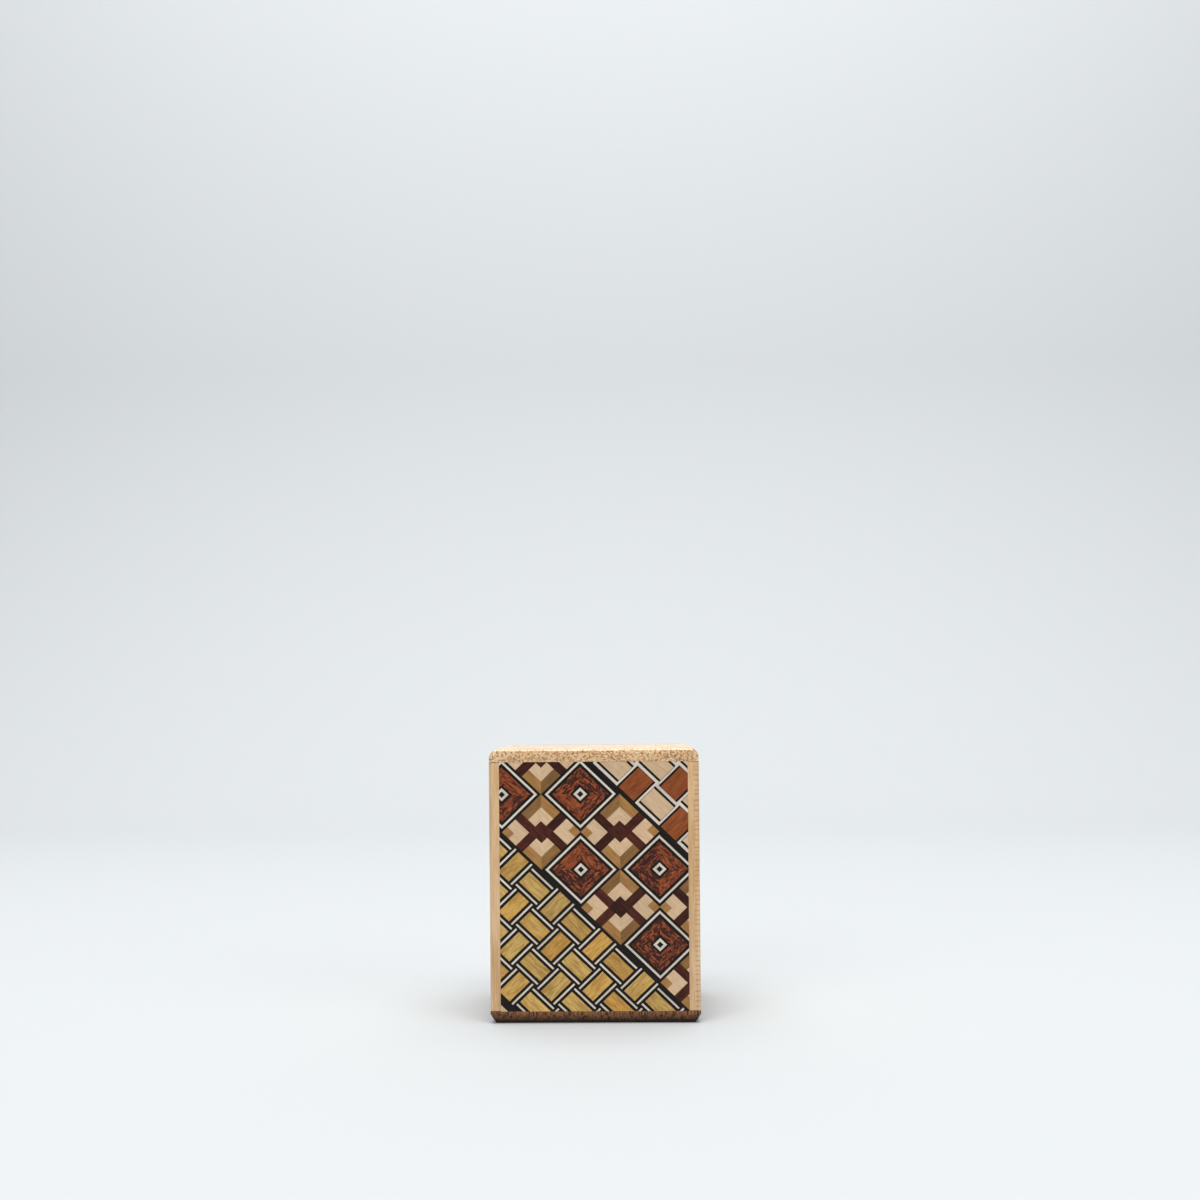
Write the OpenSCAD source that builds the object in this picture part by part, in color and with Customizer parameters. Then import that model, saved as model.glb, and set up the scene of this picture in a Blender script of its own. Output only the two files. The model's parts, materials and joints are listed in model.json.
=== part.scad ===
// Wooden puzzle box standing on its end, with marquetry on its two large faces.
// The box is 46.4 x 33 x 60.6 mm. +Z is up, the front face looks along -Y, and the
// origin is the middle of the underside. The back face is a lid that slides up in
// dovetail rails. The two end boards slide forward on dovetail keys.

/* [Box] */
// Width across the large face
box_w = 46.4; // [42:0.2:60]
// Depth from the front face to the lid's face
box_d = 33; // [30:0.5:45]
// Height of the box standing on its end
box_h = 60.6; // [58:0.2:80]

/* [Outer boards] */
// Thickness of the left side board
left_t = 2.3; // [2.2:0.1:3]
// Thickness of the right side board
right_t = 2.5; // [2.2:0.1:3]
// Thickness of the top end board
top_t = 2.9; // [2.6:0.05:3.4]
// Thickness of the bottom end board
bottom_t = 2.75; // [2.6:0.05:3.4]
// Radius of the two long edges of the top end board
top_r = 2; // [0.6:0.1:2.2]
// How far in the chamfer round the bottom end board's foot goes
chamfer_in = 1.15; // [0.4:0.05:1.6]
// How far up that chamfer goes
chamfer_up = 2.1; // [0.6:0.1:2.2]

/* [Marquetry] */
// Thickness of a marquetry sheet
sheet_t = 0.6; // [0.4:0.1:0.9]
// Spacing of like diamonds across the face
pitch_x = 17.33; // [15:0.01:19]
// Spacing of like diamonds up the face
pitch_z = 16.63; // [15:0.01:19]
// First diamond's centre, in from the sheet's left edge
diamond_x = 17.9; // [16:0.1:20]
// First diamond's centre, down from the sheet's top edge
diamond_z = 7.1; // [6:0.1:9]
// Width of the upper divider as a share of a diamond's side
upper_divider = 0.075; // [0.04:0.005:0.16]
// Width of the lower divider as a share of a diamond's side
lower_divider = 0.05; // [0.04:0.005:0.16]

/* [Inner case] */
// Thickness of the front board behind the marquetry
front_t = 2; // [1.6:0.1:2.6]
// Thickness of the compartment's floor
floor_t = 1; // [0.8:0.1:1.4]
// Thickness of the inner end walls
wall_t = 2.3; // [2.2:0.1:3]
// Thickness of the side linings
lining_t = 1.2; // [0.8:0.1:1.6]
// Width of a lid rail
rail_w = 3.4; // [3.2:0.1:4]
// Diameter of the pegs that hold the inner end walls
peg_d = 1; // [0.8:0.1:1.2]

/* [Sliding parts] */
// Travel of each end board
board_travel = 3; // [1:0.5:4]
// Gap between faces that slide on each other
slide_gap = 0.08; // [0.05:0.01:0.12]
// Thickness of the lid's board without its marquetry
lid_t = 1.8; // [1.6:0.1:2.2]
// Width of a dovetail at its neck
dovetail_neck = 1.4; // [1.2:0.1:1.6]
// Width of a dovetail at its root
dovetail_root = 2.1; // [1.8:0.1:2.2]
// Depth of an end board's dovetail key
key_depth = 1.3; // [1:0.1:1.4]
// Distance from one end board key to the other
key_spacing = 22; // [14:1:26]
// Diameter of the lid's stop peg
stop_d = 1.8; // [1.4:0.1:2.2]
// Height of the lid's stop peg above the bottom end board
stop_height = 6.7; // [6:0.1:9]

/* [Hidden] */
$fn = 48;

// Outline of the box
left_x = -box_w / 2;
right_x = box_w / 2;
front_y = -box_d / 2;
back_y = box_d / 2;

// Room between the four outer boards, which is also the size of a large face's panel
panel_x0 = left_x + left_t;
panel_x1 = right_x - right_t;
panel_z0 = bottom_t;
panel_z1 = box_h - top_t;
panel_w = panel_x1 - panel_x0;
panel_h = panel_z1 - panel_z0;

// Fixed front panel, from its face inwards
front_board_y = front_y + sheet_t;
floor_y = front_board_y + front_t;
room_y = floor_y + floor_t;

// Lid, from its face inwards
lid_sheet_y = back_y - sheet_t;
lid_inner_y = lid_sheet_y - lid_t;
rail_back_y = lid_inner_y - slide_gap;
runner_depth = 1.4;
cleat_y = lid_inner_y - runner_depth - slide_gap;
notch_y = cleat_y - slide_gap;
rail_front_y = notch_y - 1.25;

// Compartment between the inner end walls and the linings
wall_z0 = panel_z0 + slide_gap;
wall_z1 = panel_z1 - slide_gap;
room_z0 = wall_z0 + wall_t;
room_z1 = wall_z1 - wall_t;

// Keys: each groove is blind at the front, and its end stops the board
key_end_gap = 0.1;
groove_front_y = room_y + 0.2;
key_front_y = groove_front_y + board_travel + key_end_gap;
key_back_y = rail_front_y - 0.3;

// Pegs in the inner end walls
peg_in_board = 1.4;
peg_in_wall = 2.2;
peg_y = [front_y * 0.5, back_y * 0.4];
peg_z = [(wall_z0 + room_z0) / 2, (wall_z1 + room_z1) / 2];

// Stop peg: its front end meets the upper inner wall when the lid is fully up
stop_z = panel_z0 + stop_height;
stop_front_y = rail_front_y + 0.3;
stop_back_y = lid_inner_y + 1.2;
lid_travel = room_z1 - stop_z - stop_d / 2 - 0.2;

// Sizes that only have to be larger than the part they cut or cover
past = 1;
far = 12;

plain_wood = [0.80, 0.65, 0.48];
inner_wood = [0.86, 0.74, 0.57];
hard_wood = [0.52, 0.30, 0.16];
bamboo = [0.83, 0.72, 0.45];
star_wood = [0.50, 0.24, 0.15];
divider_wood = [0.13, 0.11, 0.10];
gold_wood = [0.78, 0.62, 0.34];
orange_wood = [0.66, 0.38, 0.20];

// A block between two corners
module block(low, high) {
    translate(low) cube(high - low);
}

// An outline in X and Z, made solid from y0 back to y1
module slab(y0, y1) {
    translate([0, y1, 0]) rotate([90, 0, 0]) linear_extrude(y1 - y0) children();
}

// An end board's outline with its two upper corners rounded
module end_outline(t, r) {
    intersection() {
        translate([left_x, 0]) square([box_w, t]);
        union() {
            translate([left_x, 0]) square([box_w, t - r]);
            translate([left_x + r, 0]) square([box_w - 2 * r, t]);
            for (x = [left_x + r, right_x - r])
                translate([x, t - r]) circle(r);
        }
    }
}

// A dovetail that hangs below the line y = 0, grown by a gap on every side
module dovetail(depth, gap) {
    polygon([
        [-dovetail_neck / 2 - gap, past * sign(gap)],
        [dovetail_neck / 2 + gap, past * sign(gap)],
        [dovetail_neck / 2 + gap, 0],
        [dovetail_root / 2 + gap, -depth - gap],
        [-dovetail_root / 2 - gap, -depth - gap],
        [-dovetail_neck / 2 - gap, 0]
    ]);
}

// Both dovetails of an end board, which run front to back under the line z = 0
module key_outline(side, gap) {
    translate([side * key_spacing / 2, 0]) dovetail(key_depth, gap);
}

// --- Marquetry: a lattice of squares standing on their points ---
// a counts squares down to the right and b counts squares up to the right. The
// first diamond's centre is at (0, 0), and the sheet's top left corner is the origin.
function lattice(a, b) = [
    diamond_x + (a + b) * pitch_x / 2,
    -diamond_z - (a - b) * pitch_z / 2
];
band_low = -1.5;
band_high = 0.5;
gold_edge = band_low - lower_divider;
orange_edge = band_high + upper_divider;

// The part of a sheet between two lattice rows, with a gap round its edge
module zone(b0, b1, gap) {
    intersection() {
        translate([gap, -panel_h + gap]) square([panel_w - 2 * gap, panel_h - gap]);
        polygon([lattice(-far, b0), lattice(far, b0), lattice(far, b1), lattice(-far, b1)]);
    }
}

module front_zone(b0, b1) {
    slab(front_y, front_board_y)
        translate([panel_x0, panel_z1]) zone(b0, b1, 0);
}

// The lid carries the same pattern, the same way round when it is seen from behind
module lid_zone(b0, b1) {
    slab(lid_sheet_y, back_y)
        translate([panel_x1, panel_z1]) mirror([1, 0]) zone(b0, b1, slide_gap);
}

// --- Fixed case ---
module front_board() color(inner_wood)
    block([panel_x0, front_board_y, wall_z0], [panel_x1, floor_y, wall_z1]);

module front_star_band() color(star_wood) front_zone(band_low, band_high);

module front_lower_divider() color(divider_wood) front_zone(gold_edge, band_low);

module front_upper_divider() color(divider_wood) front_zone(band_high, orange_edge);

module front_gold_weave() color(gold_wood) front_zone(-far, gold_edge);

module front_orange_weave() color(orange_wood) front_zone(orange_edge, far);

// One peg bore or one peg, across the joint of a side board and an inner end wall
module peg(side, y, z) {
    face_x = side < 0 ? panel_x0 : panel_x1;
    out_x = face_x + side * peg_in_board;
    in_x = face_x - side * peg_in_wall;
    translate([min(out_x, in_x), y, z]) rotate([0, 90, 0])
        cylinder(d = peg_d, h = peg_in_board + peg_in_wall);
}

module all_pegs() {
    for (side = [-1, 1], y = peg_y, z = peg_z)
        peg(side, y, z);
}

module left_board() color(plain_wood) difference() {
    block([left_x, front_y, wall_z0], [panel_x0, back_y, wall_z1]);
    all_pegs();
}

module right_board() color(plain_wood) difference() {
    block([panel_x1, front_y, wall_z0], [right_x, back_y, wall_z1]);
    all_pegs();
}

module compartment_floor() color(inner_wood)
    block([panel_x0, floor_y, room_z0], [panel_x1, room_y, room_z1]);

// An inner end wall before its grooves, notched at the back for the two rails
module end_wall(z0, z1) {
    block([panel_x0, floor_y, z0], [panel_x1, rail_front_y, z1]);
    block([panel_x0 + rail_w, rail_front_y, z0], [panel_x1 - rail_w, notch_y, z1]);
}

module inner_top_wall() color(inner_wood) difference() {
    end_wall(room_z1, wall_z1);
    for (side = [-1, 1])
        slab(groove_front_y, notch_y + past)
            translate([0, panel_z1]) key_outline(side, slide_gap);
    all_pegs();
}

module inner_bottom_wall() color(inner_wood) difference() {
    end_wall(wall_z0, room_z0);
    for (side = [-1, 1])
        slab(groove_front_y, notch_y + past)
            translate([0, panel_z0]) mirror([0, 1]) key_outline(side, slide_gap);
    all_pegs();
}

module left_lining() color(inner_wood)
    block([panel_x0, room_y, room_z0], [panel_x0 + lining_t, rail_front_y, room_z1]);

module right_lining() color(inner_wood)
    block([panel_x1 - lining_t, room_y, room_z0], [panel_x1, rail_front_y, room_z1]);

// A rail's outline from above, with its dovetail groove open to the back
module rail_outline() {
    difference() {
        translate([-rail_w / 2, rail_front_y]) square([rail_w, rail_back_y - rail_front_y]);
        translate([0, lid_inner_y]) dovetail(runner_depth, slide_gap);
    }
}

module rail(x) {
    translate([x, 0, wall_z0]) linear_extrude(wall_z1 - wall_z0) rail_outline();
}

module left_rail() color(hard_wood) rail(panel_x0 + rail_w / 2);

module right_rail() color(hard_wood) rail(panel_x1 - rail_w / 2);

module frame_pegs() color(bamboo) all_pegs();

// --- Top end board, which slides forward ---
module top_board() color(plain_wood) difference() {
    slab(front_y, back_y) translate([0, panel_z1]) end_outline(top_t, top_r);
    block([panel_x0, notch_y, panel_z1 - past], [panel_x1, back_y + past, box_h + past]);
}

module top_key(side) {
    slab(key_front_y, key_back_y) translate([0, panel_z1]) key_outline(side, 0);
}

module top_left_key() color(hard_wood) top_key(-1);

module top_right_key() color(hard_wood) top_key(1);

// --- Bottom end board, which slides forward ---
module foot_outline(from, to) {
    polygon([
        [from, bottom_t],
        [from, chamfer_up],
        [from + chamfer_in, 0],
        [to - chamfer_in, 0],
        [to, chamfer_up],
        [to, bottom_t]
    ]);
}

module bottom_board() color(plain_wood) intersection() {
    slab(front_y, back_y) foot_outline(left_x, right_x);
    translate([left_x, 0, 0]) rotate([90, 0, 90])
        linear_extrude(box_w) foot_outline(front_y, back_y);
}

module bottom_key(side) {
    slab(key_front_y, key_back_y)
        translate([0, panel_z0]) mirror([0, 1]) key_outline(side, 0);
}

module bottom_left_key() color(hard_wood) bottom_key(-1);

module bottom_right_key() color(hard_wood) bottom_key(1);

// --- Lid, which slides up ---
module stop_peg() {
    translate([0, stop_back_y, stop_z]) rotate([90, 0, 0])
        cylinder(d = stop_d, h = stop_back_y - stop_front_y);
}

module lid_board() color(plain_wood) difference() {
    union() {
        block([panel_x0 + slide_gap, lid_inner_y, panel_z0 + slide_gap],
              [panel_x1 - slide_gap, lid_sheet_y, box_h]);
        block([panel_x0 + slide_gap, lid_sheet_y, panel_z1],
              [panel_x1 - slide_gap, back_y, box_h]);
    }
    stop_peg();
}

module lid_star_band() color(star_wood) lid_zone(band_low, band_high);

module lid_lower_divider() color(divider_wood) lid_zone(gold_edge, band_low);

module lid_upper_divider() color(divider_wood) lid_zone(band_high, orange_edge);

module lid_gold_weave() color(gold_wood) lid_zone(-far, gold_edge);

module lid_orange_weave() color(orange_wood) lid_zone(orange_edge, far);

// A batten across the lid's top end fills the top end board's notch
module lid_cleat() color(plain_wood)
    block([panel_x0 + slide_gap, cleat_y, panel_z1 + slide_gap],
          [panel_x1 - slide_gap, lid_inner_y, box_h]);

module runner(x) {
    translate([x, 0, panel_z0 + 2 * slide_gap]) linear_extrude(panel_h - 3 * slide_gap)
        translate([0, lid_inner_y]) dovetail(runner_depth, 0);
}

module left_runner() color(hard_wood) runner(panel_x0 + rail_w / 2);

module right_runner() color(hard_wood) runner(panel_x1 - rail_w / 2);

module lid_stop_peg() color(bamboo) stop_peg();

front_board();
front_star_band();
front_lower_divider();
front_upper_divider();
front_gold_weave();
front_orange_weave();
left_board();
right_board();
compartment_floor();
inner_top_wall();
inner_bottom_wall();
left_lining();
right_lining();
left_rail();
right_rail();
frame_pegs();
top_board();
top_left_key();
top_right_key();
bottom_board();
bottom_left_key();
bottom_right_key();
lid_board();
lid_star_band();
lid_lower_divider();
lid_upper_divider();
lid_gold_weave();
lid_orange_weave();
lid_cleat();
left_runner();
right_runner();
lid_stop_peg();
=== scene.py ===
"""Looks of a small wooden puzzle box that stands on its end.

Its two large faces are marquetry, laid as separate tiles of wood on a slanted lattice,
and its edges are plain wood. Every size comes from the frame or from the sizes below.
"""

import json
import math
import random

import bmesh
import bpy
from mathutils import Matrix, Vector


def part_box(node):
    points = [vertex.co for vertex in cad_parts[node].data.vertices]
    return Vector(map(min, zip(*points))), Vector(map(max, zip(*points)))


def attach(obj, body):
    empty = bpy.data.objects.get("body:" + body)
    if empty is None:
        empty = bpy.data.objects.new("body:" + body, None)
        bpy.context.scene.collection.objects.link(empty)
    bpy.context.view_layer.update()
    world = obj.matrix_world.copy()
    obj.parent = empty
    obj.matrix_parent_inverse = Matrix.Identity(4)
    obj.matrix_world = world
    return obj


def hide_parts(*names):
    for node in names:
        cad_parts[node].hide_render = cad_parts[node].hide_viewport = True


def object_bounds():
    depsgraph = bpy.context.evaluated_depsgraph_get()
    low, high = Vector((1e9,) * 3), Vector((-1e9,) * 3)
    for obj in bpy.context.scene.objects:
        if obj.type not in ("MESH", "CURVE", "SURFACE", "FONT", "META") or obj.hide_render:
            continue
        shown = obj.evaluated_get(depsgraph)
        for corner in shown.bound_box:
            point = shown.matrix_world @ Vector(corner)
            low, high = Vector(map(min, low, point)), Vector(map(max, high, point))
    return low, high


bl_info = {
    "name": "Wooden puzzle box",
    "version": (1, 0, 0),
    "blender": (4, 5, 0),
    "location": "View3D > Sidebar > Puzzle box",
    "description": "Makes the marquetry, boards, inner case and stage of a wooden puzzle box",
    "category": "Object",
}

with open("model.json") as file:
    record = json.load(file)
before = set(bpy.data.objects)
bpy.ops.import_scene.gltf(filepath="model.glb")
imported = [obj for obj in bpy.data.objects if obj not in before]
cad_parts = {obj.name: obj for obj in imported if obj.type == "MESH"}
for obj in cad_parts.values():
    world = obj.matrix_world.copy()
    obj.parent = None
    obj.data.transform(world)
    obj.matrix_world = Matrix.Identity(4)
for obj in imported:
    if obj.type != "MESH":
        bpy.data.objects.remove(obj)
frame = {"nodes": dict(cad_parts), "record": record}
CAD_BOX = [list(corner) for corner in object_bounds()]
MM = 0.001

# How near two places must be to count as one, in metres: a side of the box, a point of a
# board, and a point on a cutting plane
TOUCHING = 1e-5
SAME_POINT = 1e-6
ON_PLANE = 1e-7

# Angles of a board's mesh: faces that count as one plane, edges that are eased, and edges
# that stay sharp in the shading
FLAT_WITHIN = math.radians(1)
EASED_OVER = math.radians(30)
SHARP_OVER = math.radians(25)

# How far in from a side the rim of a rounded corner reaches
RIM_REACH = 2.1 * MM

# Solid wood's patterns, in waves to a metre
BROAD_SCALE = 170
RING_SCALE = 620
FIBRE_SCALE = 3600
PORE_SCALE = 2300
RAY_SCALE = 285.0

# The finish of a marquetry tile
TILE_ROUGHNESS = 0.42
TILE_SHEEN = 0.15

# How high the painted shade on the foot's wood reaches, and how strongly it darkens at the floor
PAINTED_SHADE_HEIGHT = 2.5 * MM
PAINTED_SHADE_SHARE = 0.95

# How far past a side's eased edge its rays start, and how softly they begin
RAY_MARGIN = 0.4 * MM
RAY_FADE = MM / 3

# Sockets of the Mix node when it mixes colours
MIX_FIRST, MIX_SECOND, MIX_RESULT = 6, 7, 2

# The diamond cell, as half-widths in shares of the lattice's square. Lines are inlaid
# round a figured centre, and a small dark and white square is set in the middle.
DIAMOND_RINGS = (
    ("black", 0.5, 0.452),
    ("white", 0.452, 0.413),
    ("black", 0.413, 0.362),
    ("figured", 0.362, 0.13),
    ("black", 0.13, 0.088),
    ("white", 0.088, 0.043),
)
DIAMOND_DOT = 0.043

# The star cell: the cross's arms are set off to the side of the middle, like a pinwheel
ARM_LOW = -0.02
ARM_HIGH = 0.148
ARM_SIDE = 0.16
BOSS = 0.15
BOSS_STEP = 0.145
TAN_INNER = 0.33
CORNER_INNER = 0.36

# Basket weave: a cell's half-width, how far apart like cells are along a row, and each
# strip's edges, from the middle out
WEAVE_HALF = 0.265
WEAVE_STEP = 4 * WEAVE_HALF
GOLD_STRIPS = (("gold", 0.0, 0.133), ("black", 0.133, 0.185), ("white", 0.185, 0.22),
               ("black", 0.22, WEAVE_HALF))
ORANGE_STRIPS = (("orange", 0.0, 0.188), ("black", 0.188, 0.227), ("white", 0.227, WEAVE_HALF))
CREAM_STRIPS = (("cream", 0.0, 0.168), ("black", 0.168, 0.212), ("white", 0.212, WEAVE_HALF))
CORE_END = 0.257

# Rows of the lattice: the middle band holds two rows of squares, and a divider lies
# along each side of it. The gold weave is four rows deep, with a dark strip beyond it.
BAND_LOW = -1.5
BAND_HIGH = 0.5
LOWER_DIVIDER = 0.05
UPPER_DIVIDER = 0.075
GOLD_ROWS = 4

# A divider's outer ply, as a share of its width
DIVIDER_FACE = 0.2

# A place in the lattice that lies past every edge of the face
BEYOND = 12

# Softboxes: name, place, what it looks at, side, watts and colour. Where there is nothing
# to look at, it looks at the middle of the box.
LIGHTS = (
    ("overhead", (0.0, -0.05, 1.3), None, 1.2, 16, (1.0, 0.99, 0.97)),
    ("front_fill", (-0.6, -1.0, 0.6), None, 0.8, 3.5, (1.0, 0.99, 0.97)),
    ("right_fill", (0.9, -0.6, 0.5), None, 0.7, 2.2, (1.0, 0.99, 0.98)),
    ("backdrop_wash", (0.0, -0.2, 1.5), (0, 0.8, 0.6), 0.8, 8, (1.0, 1.0, 1.0)),
)
WORLD_COLOUR = (0.92, 0.96, 1, 1)
WORLD_STRENGTH = 0.38

# The backdrop, in metres: the floor's front edge, the wall's distance and height, the
# radius of the turn between them, and half the sheet's width
FLOOR_FRONT = -3.0
WALL_BACK = 0.8
WALL_HEIGHT = 2.0
WALL_TURN = 0.35
TURN_STEPS = 24
SHEET_HALF = 3.0
PAPER_SCALE = 900


def srgb(red, green, blue):
    """A linear colour from the 0 to 255 values that a paint chart gives."""
    def linear(value):
        share = value / 255
        return share / 12.92 if share <= 0.04045 else ((share + 0.055) / 1.055) ** 2.4
    return (linear(red), linear(green), linear(blue))


def colour_property(name, description, default):
    """A colour that the user can change."""
    return bpy.props.FloatVectorProperty(
        name=name, description=description, default=default, subtype="COLOR", min=0, max=1)


def length_property(name, description, default):
    """A length in metres that the user can change."""
    return bpy.props.FloatProperty(
        name=name, description=description, default=default, subtype="DISTANCE",
        unit="LENGTH", precision=5)


class MarquetrySizes(bpy.types.PropertyGroup):
    """Where the marquetry lattice lies on a face."""

    pitch_x: length_property("Pitch across", "Spacing of like diamonds across the face",
                             17.33 * MM)
    pitch_z: length_property("Pitch up", "Spacing of like diamonds up the face", 16.63 * MM)
    diamond_x: length_property("Diamond in", "First diamond's centre from the left edge",
                               17.9 * MM)
    diamond_z: length_property("Diamond down", "First diamond's centre from the top edge",
                               7.1 * MM)
    upper_divider: bpy.props.FloatProperty(
        name="Upper divider", description="Width as a share of a square's side",
        default=UPPER_DIVIDER)
    lower_divider: bpy.props.FloatProperty(
        name="Lower divider", description="Width as a share of a square's side",
        default=LOWER_DIVIDER)
    corner_divider: bpy.props.FloatProperty(
        name="Corner divider", description="Dark strip beyond the gold weave, as a share of "
        "a square's side", default=0.15)
    gold_start: bpy.props.FloatVectorProperty(
        name="Gold weave start", description="First upright cell's place in the lattice",
        size=2, default=(0.10 - 3 * WEAVE_STEP, BAND_LOW - LOWER_DIVIDER - WEAVE_HALF))
    orange_start: bpy.props.FloatVectorProperty(
        name="Orange weave start", description="First upright cell's place in the lattice",
        size=2, default=(0.585 - WEAVE_STEP, BAND_HIGH + UPPER_DIVIDER + WEAVE_HALF))
    seeds: bpy.props.IntVectorProperty(
        name="Seeds", description="Which slice of wood each zone's tiles are cut from",
        size=5, default=(1, 2, 3, 4, 5))
    lid_seed: bpy.props.IntProperty(
        name="Lid seed", description="Added to the seeds for the lid's tiles", default=1000)


class BoardSizes(bpy.types.PropertyGroup):
    """How far the plain boards' edges are eased."""

    top_ease: length_property("Top ease", "Radius of the top end's outer edges", 0.85 * MM)
    side_ease: length_property("Side ease", "Radius of the sides' outer edges", 0.6 * MM)
    foot_ease: length_property("Foot ease", "Radius of the foot's outer edges", 0.25 * MM)
    joint_ease: length_property("Joint ease", "Radius of the edges at a joint", 0.07 * MM)


class WoodColours(bpy.types.PropertyGroup):
    """The colours of the woods."""

    plain_light: colour_property("Plain light", "Early wood of the boards", srgb(222, 188, 144))
    plain_dark: colour_property("Plain dark", "Late wood of the boards", srgb(192, 146, 94))
    pore: colour_property("Pore", "Pores of the boards' end grain", srgb(154, 100, 54))
    figured: colour_property("Figured", "Ground of the diamonds", srgb(166, 84, 42))
    figured_dark: colour_property("Figured dark", "Flecks of the diamonds", srgb(58, 27, 20))
    cross: colour_property("Cross", "Dark brown of the crosses", srgb(46, 14, 7))
    cross_light: colour_property("Cross light", "Streaks in the crosses", srgb(90, 40, 22))
    cream: colour_property("Cream", "Light wood of the hearts", srgb(212, 182, 148))
    tan: colour_property("Tan", "Olive brown behind the hearts", srgb(168, 124, 72))
    gold: colour_property("Gold", "Yellow bricks", srgb(206, 172, 100))
    gold_dark: colour_property("Gold dark", "Streaks in the yellow bricks", srgb(148, 104, 48))
    orange: colour_property("Orange", "Orange brown bricks", srgb(150, 80, 38))
    white: colour_property("White", "White inlaid lines", srgb(216, 207, 194))
    black: colour_property("Black", "Black inlaid lines", srgb(12, 8, 7))
    inner: colour_property("Inner", "Pale wood of the inner case", srgb(226, 200, 160))
    hard: colour_property("Hard", "Red brown wood of the rails and keys", srgb(140, 84, 52))
    bamboo: colour_property("Bamboo", "Pegs", srgb(214, 188, 128))


class StageSettings(bpy.types.PropertyGroup):
    """Camera, floor and lights."""

    distance: length_property("Distance", "From the camera to the front face", 0.2995)
    side: length_property("Side", "How far the camera stands to the right", 0.0078)
    above: length_property("Above", "Camera's height over the box's top", 0.0096)
    focal_share: bpy.props.FloatProperty(
        name="Focal length", description="As a share of the picture's width", default=1.1333)
    rise: bpy.props.FloatProperty(
        name="Rise", description="Lens shift upwards, as a share of the width", default=0.0875)
    turn: bpy.props.FloatProperty(name="Turn", description="Camera's turn to the left",
                                  default=math.radians(1.2), subtype="ANGLE")
    roll: bpy.props.FloatProperty(name="Roll", description="Camera's roll",
                                  default=math.radians(-0.48), subtype="ANGLE")
    floor: colour_property("Floor", "Pale floor and backdrop", srgb(197, 200, 202))


# --- Shader trees ---


class Number:
    """A socket's value in a shader tree. Arithmetic on it adds Math nodes."""

    def __init__(self, shader, socket):
        self.shader = shader
        self.socket = socket

    def _math(self, operation, *values):
        return self.shader.node("ShaderNodeMath", {"operation": operation}, list(values))

    def __add__(self, other):
        return self._math("ADD", self, other)

    def __radd__(self, other):
        return self._math("ADD", other, self)

    def __sub__(self, other):
        return self._math("SUBTRACT", self, other)

    def __rsub__(self, other):
        return self._math("SUBTRACT", other, self)

    def __mul__(self, other):
        return self._math("MULTIPLY", self, other)

    def __neg__(self):
        return self._math("MULTIPLY", self, -1)

    def clamp(self, low, high):
        """This value stretched so that low becomes 0 and high becomes 1, held between them."""
        return self.shader.node(
            "ShaderNodeMapRange", {"clamp": True, "interpolation_type": "SMOOTHSTEP"},
            {"Value": self, "From Min": low, "From Max": high})


class Shader:
    """One material's node tree."""

    def __init__(self, name):
        self.material = bpy.data.materials.new(name)
        self.material.use_nodes = True
        self.tree = self.material.node_tree
        self.surface = self.tree.nodes["Principled BSDF"]

    def _fill(self, socket, value):
        if isinstance(value, Number):
            self.tree.links.new(value.socket, socket)
        elif hasattr(socket.default_value, "__len__") and len(socket.default_value) == 4:
            socket.default_value = (*value[:3], 1)
        else:
            socket.default_value = value

    def node(self, kind, settings=None, values=None, output=0):
        """Adds a node: its settings first, then its sockets by place or by name."""
        made = self.tree.nodes.new(kind)
        for key, value in (settings or {}).items():
            setattr(made, key, value)
        pairs = values.items() if isinstance(values, dict) else enumerate(values or ())
        for key, value in pairs:
            self._fill(made.inputs[key], value)
        return Number(self, made.outputs[output])

    def set(self, **values):
        """Sets the surface's sockets, named with underscores for spaces."""
        for key, value in values.items():
            self._fill(self.surface.inputs[key.replace("_", " ")], value)

    def mix(self, share, first, second):
        """A colour between first and second."""
        made = self.tree.nodes.new("ShaderNodeMix")
        made.data_type = "RGBA"
        self._fill(made.inputs["Factor"], share)
        self._fill(made.inputs[MIX_FIRST], first)
        self._fill(made.inputs[MIX_SECOND], second)
        return Number(self, made.outputs[MIX_RESULT])

    def stretch(self, vector, scale):
        """Coordinates scaled by a Mapping node."""
        return self.node("ShaderNodeMapping", {"vector_type": "POINT"},
                         {"Vector": vector, "Scale": scale})

    def noise(self, vector, scale, detail=2.0, rough=0.5, distortion=0.0):
        """Perlin noise from 0 to 1."""
        return self.node("ShaderNodeTexNoise", {"noise_dimensions": "3D"},
                         {"Vector": vector, "Scale": scale, "Detail": detail,
                          "Roughness": rough, "Distortion": distortion})

    def bump(self, height, distance):
        """A normal from a height, in metres."""
        return self.node("ShaderNodeBump", None,
                         {"Strength": 1.0, "Distance": distance, "Height": height})


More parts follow.
